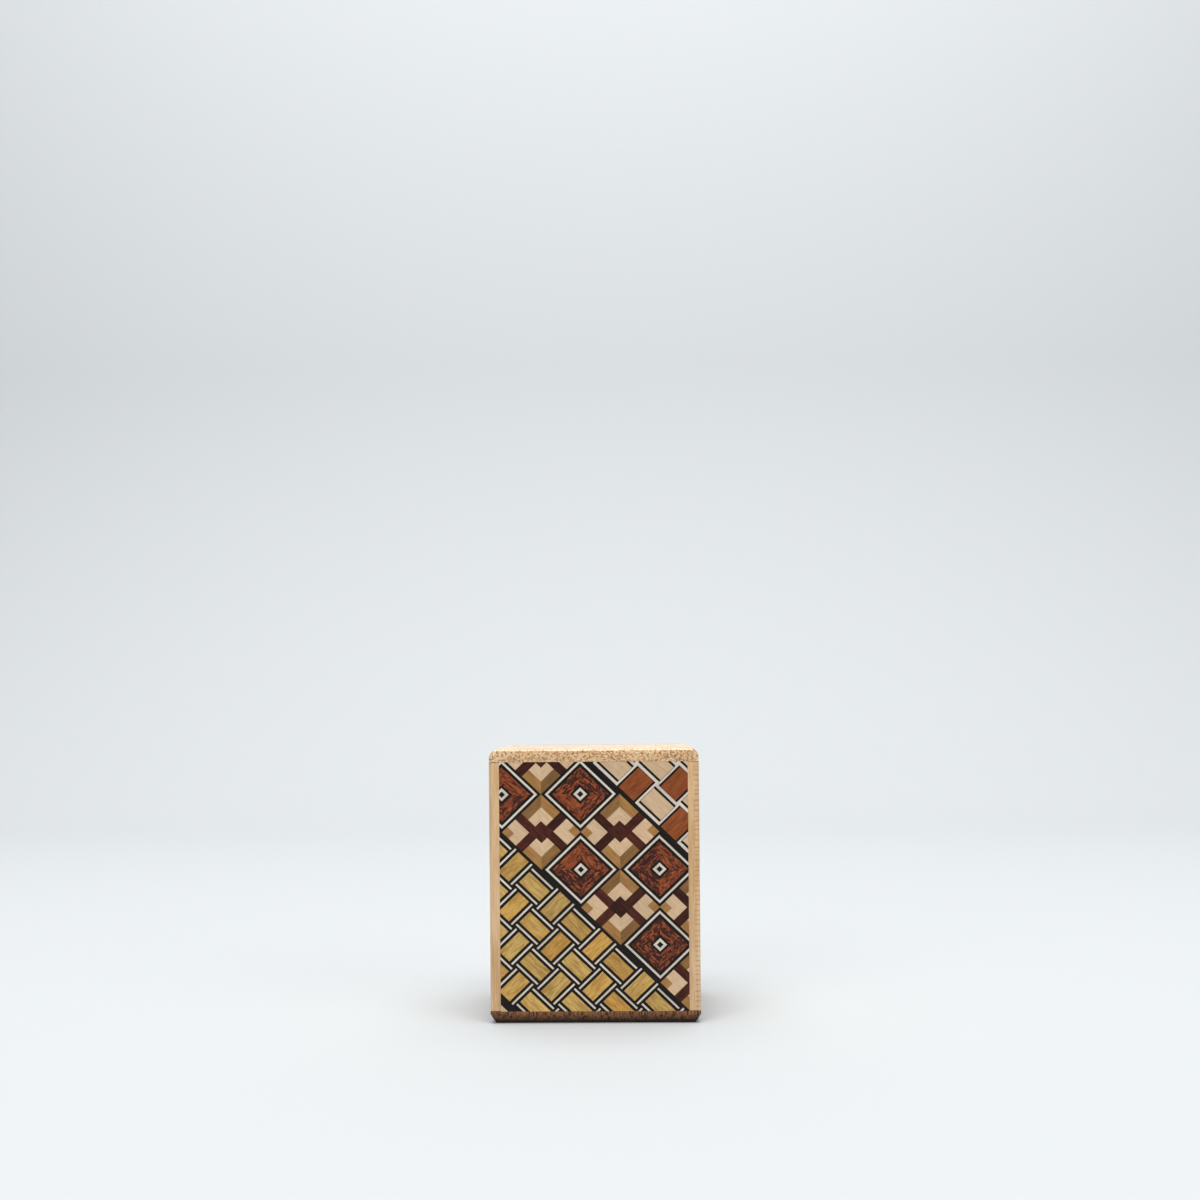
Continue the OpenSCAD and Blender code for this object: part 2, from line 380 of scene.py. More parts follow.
def solid_wood(name, light, dark, pore, grain, pores=1.0, rings=1.0, rough=0.42, fibre=0.045,
               long_pores=0.3, rays=None, lacquer=0.8, low=None):
    """Solid wood whose grain runs along one axis of the object: end grain shows its pores
    as dots, and the other faces show them as streaks. Rays show past a corner in x and y,
    and painted shade darkens the wood from the height low down to the floor."""
    shader = Shader(name)
    place = shader.node("ShaderNodeTexCoord", None, None, "Object")
    facing = shader.node("ShaderNodeTexCoord", None, None, "Normal")
    end = shader.node("ShaderNodeSeparateXYZ", None, [facing], "XYZ".index(grain))
    end = shader.node("ShaderNodeMath", {"operation": "ABSOLUTE"}, [end]).clamp(0.3, 0.8)
    along = [1.0, 1.0, 1.0]
    along["XYZ".index(grain)] = fibre
    pulled = shader.stretch(place, along)
    bend = [0.6, 0.6, 0.6]
    bend["XYZ".index(grain)] = 0.1
    broad = shader.noise(shader.stretch(place, bend), BROAD_SCALE, 2.0)
    ring = shader.noise(shader.stretch(place, bend), RING_SCALE, 3.0, 0.55, 0.6)
    fine = shader.noise(pulled, FIBRE_SCALE, 3.0, 0.6)
    cell = shader.noise(pulled, PORE_SCALE, 4.0, 0.68)
    late = (ring - 0.5) * (1.1 * rings) + (broad - 0.5) * rings + (fine - 0.5) * 0.9 + 0.5
    colour = shader.mix(late.clamp(0.1, 0.95), light, dark)
    dots = cell.clamp(0.42, 0.63) * (0.55 * pores) * (end * (1 - long_pores) + long_pores)
    colour = shader.mix(dots, colour, pore)
    if rays:
        past_x = shader.node("ShaderNodeSeparateXYZ", None, [place], 0)
        past_y = shader.node("ShaderNodeSeparateXYZ", None, [place], 1)
        near = (past_x.clamp(rays[0] - RAY_FADE, rays[0])
                * (-past_y).clamp(rays[1], rays[1] + RAY_FADE))
        bars = shader.node("ShaderNodeTexWave", {"bands_direction": "Z"},
                           {"Vector": shader.stretch(place, (0.3, 0.3, 1)), "Scale": RAY_SCALE,
                            "Distortion": 5.0, "Detail": 1.0, "Detail Scale": 1.5})
        colour = shader.mix(bars.clamp(0.72, 0.98) * near * 0.45, colour, pore)
    # Painted shade: below the height low, the colour blends towards near black srgb(26, 15, 9)
    # at the floor
    if low:
        depth = shader.node("ShaderNodeSeparateXYZ", None, [place], 2)
        painted_floor_shade = (1 - depth.clamp(0.0, low)) * PAINTED_SHADE_SHARE
        colour = shader.mix(painted_floor_shade, colour, srgb(26, 15, 9))
    height = fine * 0.5 + (1 - dots) * 0.5
    shader.set(Base_Color=colour, Roughness=rough + (fine - 0.5) * 0.25,
               Normal=shader.bump(height, 0.00002), Specular_IOR_Level=0.3,
               Coat_Weight=lacquer, Coat_Roughness=0.24)
    return shader.material


def tile_wood(name, base, streak, amount=0.6, width=1.0, spread=0.25, warm=None, flecks=0.0,
              fleck_colour=(0, 0, 0)):
    """Wood of a marquetry tile. The tile's own map holds millimetres along and across its
    grain. Its tone says how light its slice is, and its warmth how warm, from 0 to 1."""
    shader = Shader(name)
    grain = shader.node("ShaderNodeUVMap", {"uv_map": "grain"})
    tone = shader.node("ShaderNodeAttribute", {"attribute_name": "tone"}, None, "Fac")
    fine = shader.noise(shader.stretch(grain, (0.5, 5.5 / width, 1)), 1.0, 3.0, 0.65)
    streaks = shader.noise(shader.stretch(grain, (0.25, 2.2 / width, 1)), 1.0, 3.0, 0.65, 0.4)
    broad = shader.noise(shader.stretch(grain, (0.15, 0.5 / width, 1)), 1.0, 2.0, 0.5, 0.7)
    share = (fine - 0.5) * 2.2 + (streaks - 0.5) * 2.4 + (broad - 0.5) * 1.0 + 0.45
    share = share.clamp(0.0, 1.0) * amount
    if warm:
        warmth = shader.node("ShaderNodeAttribute", {"attribute_name": "warmth"}, None, "Fac")
        base = shader.mix(warmth.clamp(0.35, 1.0), base, warm)
    colour = shader.mix(share, base, streak)
    lines = shader.noise(shader.stretch(grain, (0.45, 3.4, 1)), 1.0, 2.0, 0.6).clamp(0.54, 0.64)
    colour = shader.mix(lines * (0.5 * amount), colour, streak)
    if flecks:
        swirl = shader.noise(shader.stretch(grain, (0.7, 1.5, 1)), 1.0, 3.0, 0.6, 1.4)
        spots = shader.noise(shader.stretch(grain, (0.5, 2.4, 1)), 1.0, 2.0, 0.6, 0.9)
        dark = swirl.clamp(0.45, 0.58) * 0.75 + spots.clamp(0.48, 0.57) * 0.8
        dark = (dark * (0.4 + tone * 1.15) * flecks).clamp(0.0, 1.0)
        colour = shader.mix(dark, colour, fleck_colour)
    level = 1 + (tone - 0.5) * spread
    colour = shader.node("ShaderNodeVectorMath", {"operation": "SCALE"},
                         {"Vector": colour, "Scale": level})
    shader.set(Base_Color=colour, Roughness=TILE_ROUGHNESS + (fine - 0.5) * 0.2,
               Normal=shader.bump(fine, 0.00001), Specular_IOR_Level=0.12,
               Coat_Weight=TILE_SHEEN, Coat_Roughness=0.2)
    return shader.material


# --- Marquetry cells, drawn in lattice shares about their own middle ---


def box_tile(wood, grain, low_a, low_b, high_a, high_b):
    """A four-sided tile. Grain 0 runs along a, and grain 1 along b."""
    return wood, grain, [(low_a, low_b), (high_a, low_b), (high_a, high_b), (low_a, high_b)]


def turned(tiles, quarters):
    """The same tiles turned by quarter turns about the cell's middle."""
    result = []
    for wood, grain, points in tiles:
        for _ in range(quarters):
            points = [(-b, a) for a, b in points]
        result.append((wood, (grain + quarters) % 2, points))
    return result


def diamond_cell():
    """Rings of four mitred strips each, round a dot."""
    tiles = []
    for wood, outer, inner in DIAMOND_RINGS:
        side = [(wood, 0, [(-outer, outer), (outer, outer), (inner, inner), (-inner, inner)])]
        for quarters in range(4):
            tiles += turned(side, quarters)
    tiles.append(box_tile("black", 0, -DIAMOND_DOT, -DIAMOND_DOT, DIAMOND_DOT, DIAMOND_DOT))
    return tiles


def half_star():
    """The upper half of the star cell, and the half boss below it."""
    return [
        ("olive", 1, [(-0.5, 0), (-TAN_INNER, 0), (-TAN_INNER, TAN_INNER), (-0.5, 0.5)]),
        ("tan", 0, [(-0.5, 0.5), (-TAN_INNER, TAN_INNER), (ARM_LOW, TAN_INNER), (ARM_LOW, 0.5)]),
        ("cream", 1, [(-TAN_INNER, 0), (-BOSS, 0), (-BOSS, BOSS_STEP), (-TAN_INNER, TAN_INNER)]),
        ("cream", 0, [(-TAN_INNER, TAN_INNER), (-BOSS, BOSS_STEP), (ARM_LOW, BOSS_STEP),
                      (ARM_LOW, TAN_INNER)]),
        ("cross", 0, [(-BOSS, 0), (ARM_HIGH, 0), (ARM_HIGH, ARM_SIDE), (ARM_LOW, ARM_SIDE),
                      (ARM_LOW, BOSS_STEP), (-BOSS, BOSS_STEP)]),
        box_tile("cross", 1, ARM_LOW, ARM_SIDE, ARM_HIGH, 0.5),
        box_tile("cross", 0, ARM_HIGH, 0, 0.5, ARM_SIDE),
        ("cream", 0, [(ARM_HIGH, ARM_SIDE), (0.5, ARM_SIDE), (0.5, CORNER_INNER),
                      (TAN_INNER, CORNER_INNER), (TAN_INNER, 0.5), (ARM_HIGH, 0.5)]),
        box_tile("tan", 1, TAN_INNER, CORNER_INNER, 0.5, 0.5),
    ]


def star_cell():
    """Two halves, the second turned upside down."""
    return half_star() + turned(half_star(), 2)


def brick_cell(strips):
    """An upright brick: strips on both sides of a core, each as long as the cell."""
    tiles = []
    for wood, near, far in strips:
        if near == 0:
            tiles.append(box_tile(wood, 1, -far, -CORE_END, far, CORE_END))
            tiles.append(box_tile("black", 0, -far, CORE_END, far, WEAVE_HALF))
            tiles.append(box_tile("black", 0, -far, -WEAVE_HALF, far, -CORE_END))
        else:
            tiles.append(box_tile(wood, 1, near, -WEAVE_HALF, far, WEAVE_HALF))
            tiles.append(box_tile(wood, 1, -far, -WEAVE_HALF, -near, WEAVE_HALF))
    return tiles


def divider_cell(low, high):
    """A long strip of three plies."""
    face = (high - low) * DIVIDER_FACE
    edges = (low, low + face, high - face, high)
    woods = ("black", "divider", "black")
    return [box_tile(wood, 0, -BEYOND, edges[i], BEYOND, edges[i + 1])
            for i, wood in enumerate(woods)]


# --- Geometry Nodes: a cell repeated over the lattice ---


def lattice_tree():
    """A node group that repeats a template on a slanted lattice and gives it its wood."""
    tree = bpy.data.node_groups.new("Lattice of cells", "GeometryNodeTree")
    face = tree.interface
    inputs = (("Template", "NodeSocketObject"), ("Columns", "NodeSocketInt"),
              ("Rows", "NodeSocketInt"), ("Start", "NodeSocketVector"),
              ("Column step", "NodeSocketVector"), ("Row step", "NodeSocketVector"),
              ("Wood", "NodeSocketMaterial"))
    face.new_socket("Geometry", in_out="INPUT", socket_type="NodeSocketGeometry")
    for name, kind in inputs:
        face.new_socket(name, in_out="INPUT", socket_type=kind)
    face.new_socket("Geometry", in_out="OUTPUT", socket_type="NodeSocketGeometry")

    def add(kind, settings=None, values=None):
        made = tree.nodes.new(kind)
        for key, value in (settings or {}).items():
            setattr(made, key, value)
        for key, value in (values or {}).items():
            if isinstance(value, bpy.types.NodeSocket):
                tree.links.new(value, made.inputs[key])
            else:
                made.inputs[key].default_value = value
        return made

    given = tree.nodes.new("NodeGroupInput").outputs
    cells = add("ShaderNodeMath", {"operation": "MULTIPLY"},
                {0: given["Columns"], 1: given["Rows"]})
    points = add("GeometryNodePoints", None, {"Count": cells.outputs[0]})
    index = add("GeometryNodeInputIndex").outputs[0]
    column = add("ShaderNodeMath", {"operation": "MODULO"}, {0: index, 1: given["Columns"]})
    ratio = add("ShaderNodeMath", {"operation": "DIVIDE"}, {0: index, 1: given["Columns"]})
    row = add("ShaderNodeMath", {"operation": "FLOOR"}, {0: ratio.outputs[0]})
    across = add("ShaderNodeVectorMath", {"operation": "SCALE"},
                 {0: given["Column step"], "Scale": column.outputs[0]})
    up = add("ShaderNodeVectorMath", {"operation": "SCALE"},
             {0: given["Row step"], "Scale": row.outputs[0]})
    offset = add("ShaderNodeVectorMath", {"operation": "ADD"},
                 {0: across.outputs[0], 1: up.outputs[0]})
    place = add("ShaderNodeVectorMath", {"operation": "ADD"},
                {0: offset.outputs[0], 1: given["Start"]})
    moved = add("GeometryNodeSetPosition", None,
                {"Geometry": points.outputs[0], "Position": place.outputs[0]})
    template = add("GeometryNodeObjectInfo", None, {"Object": given["Template"]})
    laid = add("GeometryNodeInstanceOnPoints", None,
               {"Points": moved.outputs[0], "Instance": template.outputs["Geometry"]})
    real = add("GeometryNodeRealizeInstances", None, {"Geometry": laid.outputs[0]})
    wood = add("GeometryNodeSetMaterial", None,
               {"Geometry": real.outputs[0], "Material": given["Wood"]})
    result = tree.nodes.new("NodeGroupOutput")
    tree.links.new(wood.outputs[0], result.inputs[0])
    return tree


def template_object(tiles, square):
    """Flat tiles as one mesh. Each corner's map is its place in millimetres along and
    across the tile's own grain."""
    mesh = bpy.data.meshes.new("template")
    points = []
    faces = []
    for _, _, outline in tiles:
        faces.append(range(len(points), len(points) + len(outline)))
        points += [(a, b, 0) for a, b in outline]
    mesh.from_pydata(points, [], [list(face) for face in faces])
    grain_map = mesh.uv_layers.new(name="grain")
    side = square / MM
    for polygon, (_, grain, _) in zip(mesh.polygons, tiles):
        for loop in polygon.loop_indices:
            a, b, _ = mesh.vertices[mesh.loops[loop].vertex_index].co
            grain_map.data[loop].uv = (b * side, a * side) if grain else (a * side, b * side)
    made = bpy.data.objects.new("template", mesh)
    bpy.context.scene.collection.objects.link(made)
    return made


def lay_cells(tree, tiles, material, square, columns, rows, start, column_step, row_step):
    """Repeats the tiles with the node group and returns the result as a plain mesh."""
    template = template_object(tiles, square)
    carrier = bpy.data.objects.new("carrier", bpy.data.meshes.new("carrier"))
    bpy.context.scene.collection.objects.link(carrier)
    modifier = carrier.modifiers.new("Lattice", "NODES")
    modifier.node_group = tree
    values = {"Template": template, "Columns": columns, "Rows": rows, "Start": (*start, 0),
              "Column step": (*column_step, 0), "Row step": (*row_step, 0), "Wood": material}
    for item in tree.interface.items_tree:
        if item.in_out == "INPUT" and item.name in values:
            modifier[item.identifier] = values[item.name]
    carrier.update_tag()
    depsgraph = bpy.context.evaluated_depsgraph_get()
    mesh = bpy.data.meshes.new_from_object(carrier.evaluated_get(depsgraph))
    bpy.data.objects.remove(carrier)
    bpy.data.objects.remove(template)
    return mesh


def square_side(sizes):
    """The side of the lattice's square, in metres."""
    return math.hypot(sizes.pitch_x, sizes.pitch_z) / 2


def marquetry_layers(sizes):
    """The cells of each zone: tiles, columns, rows, start and the two steps."""
    weave = 2 * WEAVE_HALF
    gold_edge = BAND_LOW - sizes.lower_divider
    gold_end = gold_edge - GOLD_ROWS * weave
    corner_edge = gold_end - sizes.corner_divider
    orange_edge = BAND_HIGH + sizes.upper_divider
    gold = Vector(sizes.gold_start)
    orange = Vector(sizes.orange_start)
    sideways = Vector((weave, 0))
    single = (1, 1, (0, 0), (0, 0), (0, 0))
    down = ((2 * weave, 0), (weave, -weave))
    up = ((2 * weave, 0), (-weave, weave))
    return {
        "star_band": (
            BAND_LOW, BAND_HIGH,
            [(diamond_cell(), 6, 2, (-2, 0), (2, 0), (-1, -1)),
             (star_cell(), 6, 2, (-1, 0), (2, 0), (-1, -1))]),
        "lower_divider": (gold_edge, BAND_LOW, [(divider_cell(gold_edge, BAND_LOW), *single)]),
        "upper_divider": (
            BAND_HIGH, orange_edge, [(divider_cell(BAND_HIGH, orange_edge), *single)]),
        "gold_weave": (
            -BEYOND, gold_edge,
            [(brick_cell(GOLD_STRIPS), 9, GOLD_ROWS, gold, *down),
             (turned(brick_cell(GOLD_STRIPS), 1), 9, GOLD_ROWS, gold + sideways, *down),
             (divider_cell(corner_edge, gold_end), *single),
             ([box_tile("cream", 0, -BEYOND, -BEYOND, BEYOND, corner_edge)], *single)]),
        "orange_weave": (
            orange_edge, BEYOND,
            [(brick_cell(ORANGE_STRIPS), 6, 5, orange, *up),
             (turned(brick_cell(CREAM_STRIPS), 1), 6, 5, orange - sideways, *up)]),
    }


def cut(shape, point, outward):
    """Cuts away what lies beyond a plane."""
    everything = shape.verts[:] + shape.edges[:] + shape.faces[:]
    bmesh.ops.bisect_plane(shape, geom=everything, dist=ON_PLANE, plane_co=point,
                           plane_no=outward, clear_outer=True)


def thicken(name, flat, face_y, back_y, tones):
    """Makes each flat tile a closed block of wood of its own, from face_y in to back_y."""
    points, faces, corner_map, face_tone, face_warmth, slots = [], [], [], [], [], []
    grain = flat.loops.layers.uv["grain"]
    for tile in flat.faces:
        tone, warmth = tones.random(), tones.random()
        shift = Vector((tones.uniform(-50, 50), tones.uniform(-50, 50)))
        front = [Vector((v.co.x, face_y, v.co.z)) for v in tile.verts]
        back = [Vector((v.co.x, back_y, v.co.z)) for v in tile.verts]
        count = len(front)
        first = len(points)
        places = [loop[grain].uv + shift for loop in tile.loops]
        points += front + back
        rings = [list(range(count)), list(range(2 * count - 1, count - 1, -1))]
        for i in range(count):
            after = (i + 1) % count
            rings.append([after, i, i + count, after + count])
        for ring in rings:
            faces.append([first + i for i in ring])
            corner_map += [places[i % count] for i in ring]
            face_tone.append(tone)
            face_warmth.append(warmth)
            slots.append(tile.material_index)
    mesh = bpy.data.meshes.new(name)
    mesh.from_pydata(points, [], faces)
    mesh.uv_layers.new(name="grain").data.foreach_set(
        "uv", [value for place in corner_map for value in place])
    mesh.attributes.new("tone", "FLOAT", "FACE").data.foreach_set("value", face_tone)
    mesh.attributes.new("warmth", "FLOAT", "FACE").data.foreach_set("value", face_warmth)
    mesh.polygons.foreach_set("material_index", slots)
    outside = bmesh.new()
    outside.from_mesh(mesh)
    bmesh.ops.recalc_face_normals(outside, faces=outside.faces)
    outside.to_mesh(mesh)
    outside.free()
    return mesh


def lay_zone(tree, cells, woods, square, to_face):
    """The cells of one zone as flat tiles on the face."""
    flat = bmesh.new()
    names = sorted(woods)
    for tiles, columns, rows, start, column_step, row_step in cells:
        for wood in sorted({tile[0] for tile in tiles}):
            part = [tile for tile in tiles if tile[0] == wood]
            mesh = lay_cells(tree, part, woods[wood], square, columns, rows, start,
                             column_step, row_step)
            mesh.polygons.foreach_set("material_index", [names.index(wood)] * len(mesh.polygons))
            mesh.transform(to_face)
            flat.from_mesh(mesh)
            bpy.data.meshes.remove(mesh)
    return flat


def marquetry_piece(tree, sizes, woods, prefix, zone, layers, seed):
    """One zone of one face, as tiles that fill its CAD node."""
    low_row, high_row, cells = layers
    node = f"{prefix}_{zone}"
    panel = [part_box(f"{prefix}_{part}") for part in marquetry_layers(sizes)]
    low = Vector([min(box[0][i] for box in panel) for i in range(3)])
    high = Vector([max(box[1][i] for box in panel) for i in range(3)])
    behind = prefix == "lid"
    across = -1 if behind else 1
    left = high.x if behind else low.x
    half_x, half_z = sizes.pitch_x / 2 * across, sizes.pitch_z / 2
    corner = Vector((left + sizes.diamond_x * across, 0, high.z - sizes.diamond_z))
    to_face = Matrix(((half_x, half_x, 0, corner.x), (0, 0, 1, 0),
                      (-half_z, half_z, 0, corner.z), (0, 0, 0, 1)))
    flat = lay_zone(tree, cells, woods, square_side(sizes), to_face)
    for axis in (0, 2):
        outward = Vector((0, 0, 0))
        outward[axis] = 1
        cut(flat, low, -outward)
        cut(flat, high, outward)
    row_up = Vector((half_x, 0, half_z))
    along = Vector((half_x, 0, -half_z))
    outward = along.cross(Vector((0, 1, 0)))
    outward = outward if outward.dot(row_up) > 0 else -outward
    cut(flat, corner + row_up * low_row, -outward)
    cut(flat, corner + row_up * high_row, outward)
    face_y, back_y = (high.y, low.y) if behind else (low.y, high.y)
    mesh = thicken(f"{node}_tiles", flat, face_y, back_y, random.Random(seed))
    flat.free()
    for name in sorted(woods):
        mesh.materials.append(woods[name])
    piece = bpy.data.objects.new(f"{node}_tiles", mesh)
    bpy.context.scene.collection.objects.link(piece)
    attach(piece, "lid" if behind else "case")
    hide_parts(node)


def marquetry_woods(colours):
    """The woods of the marquetry, by name."""
    return {
        "black": tile_wood("black_line", colours.black, srgb(20, 13, 11), 0.5, spread=0.4),
        "white": tile_wood("white_line", colours.white, srgb(186, 168, 148), 0.5, spread=0.16),
        "divider": tile_wood("divider_wood", srgb(28, 20, 16), srgb(14, 9, 8), 0.9, 0.8, 0.3),
        "figured": tile_wood("figured_red", colours.figured, srgb(112, 52, 28), 0.8, 1.0,
                             -0.16, None, 1.0, colours.figured_dark),
        "cross": tile_wood("cross_brown", colours.cross, colours.cross_light, 0.6, 1.2, 0.8),
        "cream": tile_wood("cream_wood", colours.cream, srgb(184, 150, 112), 0.6, 0.8, 0.14),
        "tan": tile_wood("tan_wood", colours.tan, srgb(134, 94, 48), 0.7, 1.0, 0.12),
        "olive": tile_wood("olive_wood", srgb(142, 104, 60), srgb(106, 74, 38), 0.7, 1.0, 0.3),
        "gold": tile_wood("gold_wood", colours.gold, colours.gold_dark, 0.75, 1.1, 0.34,
                          srgb(200, 152, 74)),
        "orange": tile_wood("orange_wood", colours.orange, srgb(104, 48, 22), 0.7, 1.0, 0.14),
    }


class PUZZLEBOX_OT_marquetry(bpy.types.Operator):
    """Lays the marquetry of the front face and of the lid"""

    bl_idname = "puzzlebox.marquetry"
    bl_label = "Marquetry"

    def execute(self, context):
        sizes = context.scene.puzzlebox_marquetry
        woods = marquetry_woods(context.scene.puzzlebox_colours)
        tree = lattice_tree()
        for face, prefix in enumerate(("front", "lid")):
            for place, (zone, layers) in enumerate(marquetry_layers(sizes).items()):
                seed = sizes.seeds[place] + sizes.lid_seed * face
                marquetry_piece(tree, sizes, woods, prefix, zone, layers, seed)
        return {"FINISHED"}


# --- Plain boards ---


def on_outline(edge, low, high):
    """Whether an edge lies where two faces of the whole box meet."""
    touching = 0
    for axis in range(3):
        for side in (low, high):
            if all(abs(v.co[axis] - side[axis]) < TOUCHING for v in edge.verts):
                touching += 1
    return touching >= 2


def eased_board(node, material, outer_ease, joint_ease, body):
    """A CAD board with its outer edges rounded and its joint edges just broken."""
    low, high = (Vector(corner) for corner in CAD_BOX)
    mesh = frame["nodes"][node].data.copy()
    shape = bmesh.new()
    shape.from_mesh(mesh)
    bmesh.ops.remove_doubles(shape, verts=shape.verts, dist=SAME_POINT)
    bmesh.ops.dissolve_limit(shape, angle_limit=FLAT_WITHIN, verts=shape.verts,
                             edges=shape.edges)
    weight = shape.edges.layers.float.new("bevel_weight_edge")
    for edge in shape.edges:
        if len(edge.link_faces) == 2 and edge.calc_face_angle() > EASED_OVER:
            end = any(abs(v.co.y - side) < TOUCHING
                      for v in edge.verts for side in (low.y, high.y))
            outer = on_outline(edge, low, high) or (end and rounded_rim(edge, low, high))
            edge[weight] = 1.0 if outer else joint_ease / outer_ease
    shape.to_mesh(mesh)
    shape.free()
    mesh.materials.clear()
    mesh.materials.append(material)
    piece = bpy.data.objects.new(f"{node}_eased", mesh)
    bpy.context.scene.collection.objects.link(piece)
    bevel = piece.modifiers.new("Ease", "BEVEL")
    bevel.limit_method = "WEIGHT"
    bevel.width = outer_ease
    bevel.segments = 3
    bevel.use_clamp_overlap = False
    depsgraph = bpy.context.evaluated_depsgraph_get()
    eased = bpy.data.meshes.new_from_object(piece.evaluated_get(depsgraph))
    piece.modifiers.clear()
    piece.data = eased
    eased.polygons.foreach_set("use_smooth", [True] * len(eased.polygons))
    eased.set_sharp_from_angle(angle=SHARP_OVER)
    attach(piece, body)
    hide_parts(node)


def rounded_rim(edge, low, high):
    """Whether an edge is part of the rim round a rounded corner of an end board."""
    step = edge.verts[0].co - edge.verts[1].co
    near_side = all(min(v.co.x - low.x, high.x - v.co.x) < RIM_REACH for v in edge.verts)
    slanted = abs(step.x) > SAME_POINT and abs(step.z) > SAME_POINT
    return abs(step.y) < SAME_POINT and near_side and slanted


class PUZZLEBOX_OT_boards(bpy.types.Operator):
    """Rounds and finishes the four plain outer boards and the lid's board"""

    bl_idname = "puzzlebox.boards"
    bl_label = "Plain boards"

    def execute(self, context):
        colours = context.scene.puzzlebox_colours
        sizes = context.scene.puzzlebox_boards
        tints = (colours.plain_light, colours.plain_dark, colours.pore)
        end_tints = (srgb(242, 212, 168), srgb(214, 170, 118), srgb(146, 92, 48))
        # Painted shade: the foot's colours are darker than the other boards' and its pores are
        # near black; its wood also darkens further towards the floor
        foot_tints_painted_shade = (srgb(160, 106, 62), srgb(118, 74, 40), srgb(22, 11, 6))
        inwards = sizes.side_ease + RAY_MARGIN
        corner = (CAD_BOX[1][0] - inwards, -CAD_BOX[0][1] - inwards)
        end_wood = solid_wood("end_board_wood", *end_tints, "Y", pores=1.75, rings=0.6,
                              long_pores=0.25)
        foot_wood_painted_shade = solid_wood("foot_wood_painted_shade", *foot_tints_painted_shade, "Z", pores=1.7, rings=0.4, fibre=0.14,
                               long_pores=1.0, lacquer=0.05, low=PAINTED_SHADE_HEIGHT)
        side_wood = solid_wood("side_board_wood", *tints, "Z", pores=0.9, rings=0.8,
                               fibre=0.06, rays=corner)
        for node, material, ease, body in (
                ("top_board", end_wood, sizes.top_ease, "top_end"),
                ("bottom_board", foot_wood_painted_shade, sizes.foot_ease, "bottom_end"),
                ("left_board", side_wood, sizes.side_ease, "case"),
                ("right_board", side_wood, sizes.side_ease, "case"),
                ("lid_board", side_wood, sizes.top_ease, "lid"),
                ("lid_cleat", side_wood, sizes.side_ease, "lid")):
            eased_board(node, material, ease, sizes.joint_ease, body)
        return {"FINISHED"}


# --- Inner case ---


class PUZZLEBOX_OT_inner_case(bpy.types.Operator):
    """Finishes the walls, linings, rails, keys, runners and pegs inside the box"""

    bl_idname = "puzzlebox.inner_case"
    bl_label = "Inner case"

    def execute(self, context):
        colours = context.scene.puzzlebox_colours
        pale = (colours.inner, srgb(200, 166, 120), srgb(172, 132, 88))
        hard = (colours.hard, srgb(104, 56, 34), srgb(66, 34, 22))
        cane = (colours.bamboo, srgb(180, 148, 90), srgb(120, 88, 48))
        finishes = {
            "inner_wood": {axis: solid_wood(f"inner_wood_{axis}", *pale, axis, 0.5, 0.8, 0.7)
                           for axis in "XZ"},
            "hard_wood": {axis: solid_wood(f"hard_wood_{axis}", *hard, axis, 0.8, 1.0, 0.5)
                          for axis in "YZ"},
            "bamboo": {"X": solid_wood("bamboo_peg", *cane, "X", 0.6, 0.6, 0.5)},
        }
        for part in frame["record"]["subparts"]:
            woods = finishes.get(part["material_slot"])
            if woods is None:
                continue
            low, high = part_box(part["node"])
            longest = max(woods, key=lambda axis: (high - low)["XYZ".index(axis)])
            materials = frame["nodes"][part["node"]].data.materials
            materials.clear()
            materials.append(woods[longest])
        return {"FINISHED"}


# --- Stage ---


def cyclorama(colour):
    """A pale floor that sweeps up into a backdrop, as one smooth sheet."""
    start = WALL_BACK - WALL_TURN
    profile = [(FLOOR_FRONT, 0.0), (start, 0.0)]
    for step in range(1, TURN_STEPS + 1):
        angle = step / TURN_STEPS * math.pi / 2
        profile.append((start + WALL_TURN * math.sin(angle),
                        WALL_TURN - WALL_TURN * math.cos(angle)))
    profile.append((WALL_BACK, WALL_HEIGHT))
    points = [(side, y, z) for y, z in profile for side in (-SHEET_HALF, SHEET_HALF)]
    faces = [(2 * i, 2 * i + 1, 2 * i + 3, 2 * i + 2) for i in range(len(profile) - 1)]
    mesh = bpy.data.meshes.new("backdrop")
    mesh.from_pydata(points, [], faces)
    mesh.polygons.foreach_set("use_smooth", [True] * len(faces))
    shader = Shader("backdrop_paper")
    place = shader.node("ShaderNodeTexCoord", None, None, "Object")
    paper = shader.noise(place, PAPER_SCALE, 2.0)
    shader.set(Base_Color=shader.mix(paper * 0.03, colour, srgb(186, 188, 192)),
               Roughness=0.9, Specular_IOR_Level=0.2)
    mesh.materials.append(shader.material)
    made = bpy.data.objects.new("backdrop", mesh)
    bpy.context.scene.collection.objects.link(made)


def soft_light(name, place, target, size, power, colour):
    """A square softbox that looks at a point."""
    data = bpy.data.lights.new(name, "AREA")
    data.shape = "SQUARE"
    data.size = size
    data.energy = power
    data.color = colour
    made = bpy.data.objects.new(name, data)
    made.location = place
    made.rotation_euler = (Vector(target) - Vector(place)).to_track_quat("-Z", "Y").to_euler()
    bpy.context.scene.collection.objects.link(made)


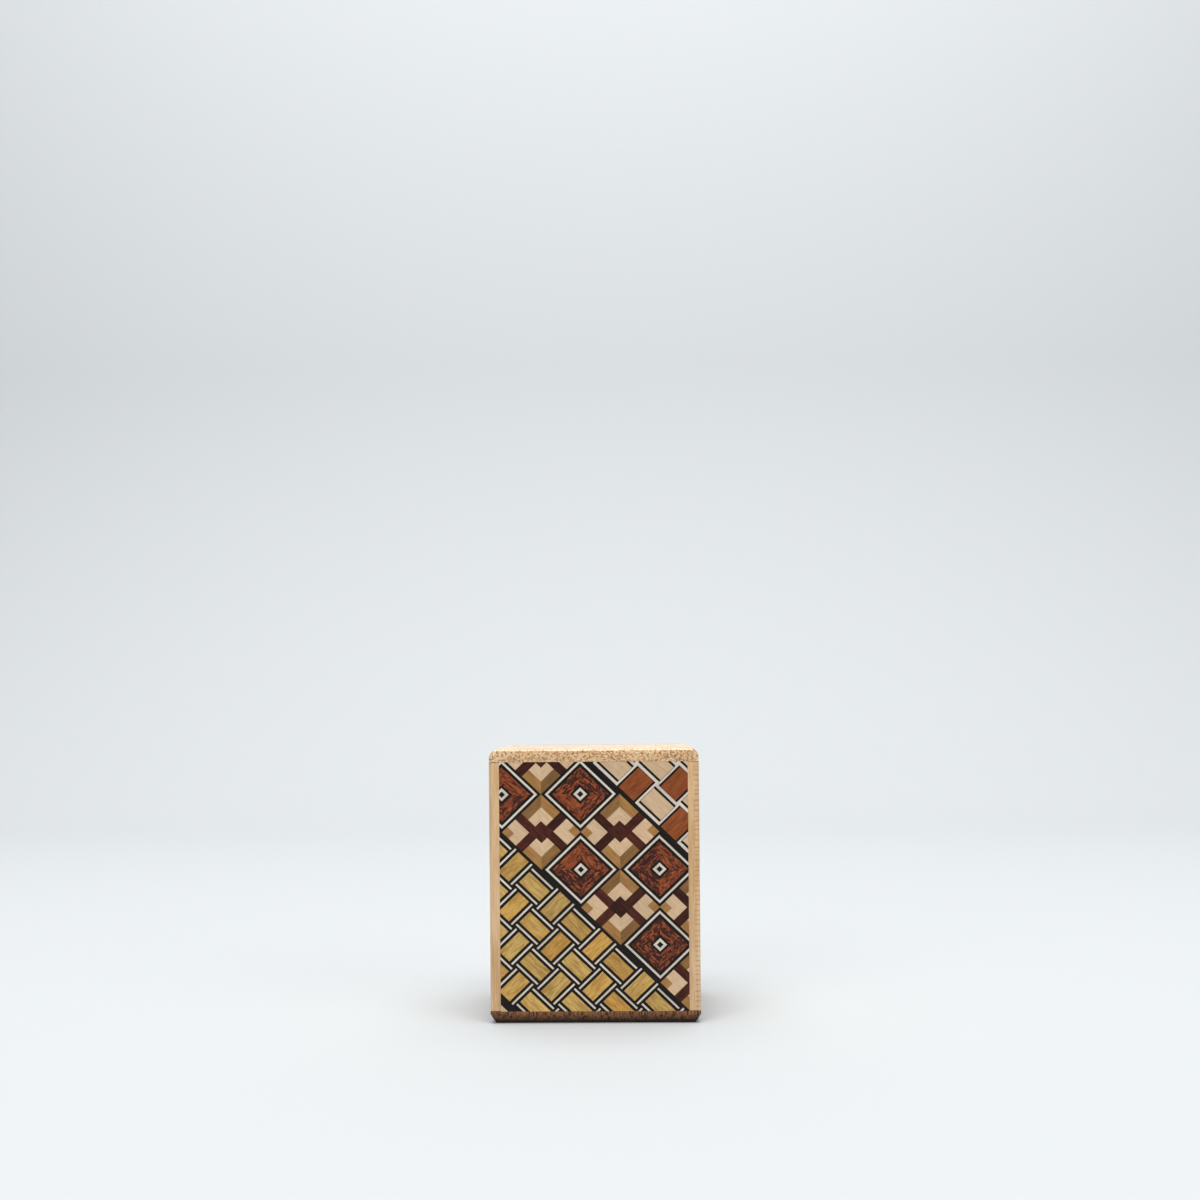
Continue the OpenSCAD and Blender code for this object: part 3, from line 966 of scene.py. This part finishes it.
class PUZZLEBOX_OT_stage(bpy.types.Operator):
    """Makes the floor, the lights and the camera"""

    bl_idname = "puzzlebox.stage"
    bl_label = "Stage"

    def execute(self, context):
        settings = context.scene.puzzlebox_stage
        low, high = (Vector(corner) for corner in CAD_BOX)
        middle = (low + high) / 2
        cyclorama(settings.floor)
        for name, place, target, size, power, colour in LIGHTS:
            soft_light(name, place, target or middle, size, power, colour)
        world = bpy.data.worlds.new("Studio")
        world.use_nodes = True
        background = world.node_tree.nodes["Background"]
        background.inputs["Color"].default_value = WORLD_COLOUR
        background.inputs["Strength"].default_value = WORLD_STRENGTH
        context.scene.world = world
        context.scene.view_settings.view_transform = "Standard"
        data = bpy.data.cameras.new("Camera")
        data.sensor_width = 36
        data.lens = data.sensor_width * settings.focal_share
        data.shift_y = settings.rise
        data.clip_start = 0.01
        camera = bpy.data.objects.new("Camera", data)
        camera.location = (middle.x + settings.side, low.y - settings.distance,
                           high.z + settings.above)
        look = (Matrix.Rotation(settings.turn, 4, "Z")
                @ Matrix.Rotation(math.pi / 2, 4, "X")
                @ Matrix.Rotation(settings.roll, 4, "Z"))
        camera.rotation_euler = look.to_euler()
        context.scene.collection.objects.link(camera)
        context.scene.camera = camera
        return {"FINISHED"}


class PUZZLEBOX_PT_panel(bpy.types.Panel):
    """Lists the steps that make the puzzle box"""

    bl_idname = "PUZZLEBOX_PT_panel"
    bl_label = "Puzzle box"
    bl_space_type = "VIEW_3D"
    bl_region_type = "UI"
    bl_category = "Puzzle box"

    def draw(self, context):
        for operator in OPERATORS:
            self.layout.operator(operator.bl_idname)
        for group in GROUPS:
            settings = getattr(context.scene, group)
            box = self.layout.box()
            for name in settings.__class__.__annotations__:
                box.prop(settings, name)


OPERATORS = (PUZZLEBOX_OT_stage, PUZZLEBOX_OT_boards, PUZZLEBOX_OT_marquetry,
             PUZZLEBOX_OT_inner_case)
GROUPS = {"puzzlebox_marquetry": MarquetrySizes, "puzzlebox_boards": BoardSizes,
          "puzzlebox_colours": WoodColours, "puzzlebox_stage": StageSettings}
CLASSES = (*GROUPS.values(), *OPERATORS, PUZZLEBOX_PT_panel)


def register():
    for cls in CLASSES:
        bpy.utils.register_class(cls)
    for name, group in GROUPS.items():
        setattr(bpy.types.Scene, name, bpy.props.PointerProperty(type=group))


def unregister():
    for name in GROUPS:
        delattr(bpy.types.Scene, name)
    for cls in reversed(CLASSES):
        bpy.utils.unregister_class(cls)


def main():
    register()
    bpy.ops.puzzlebox.stage()
    bpy.ops.puzzlebox.boards()
    bpy.ops.puzzlebox.marquetry()
    bpy.ops.puzzlebox.inner_case()


if __name__ == "__main__":
    main()
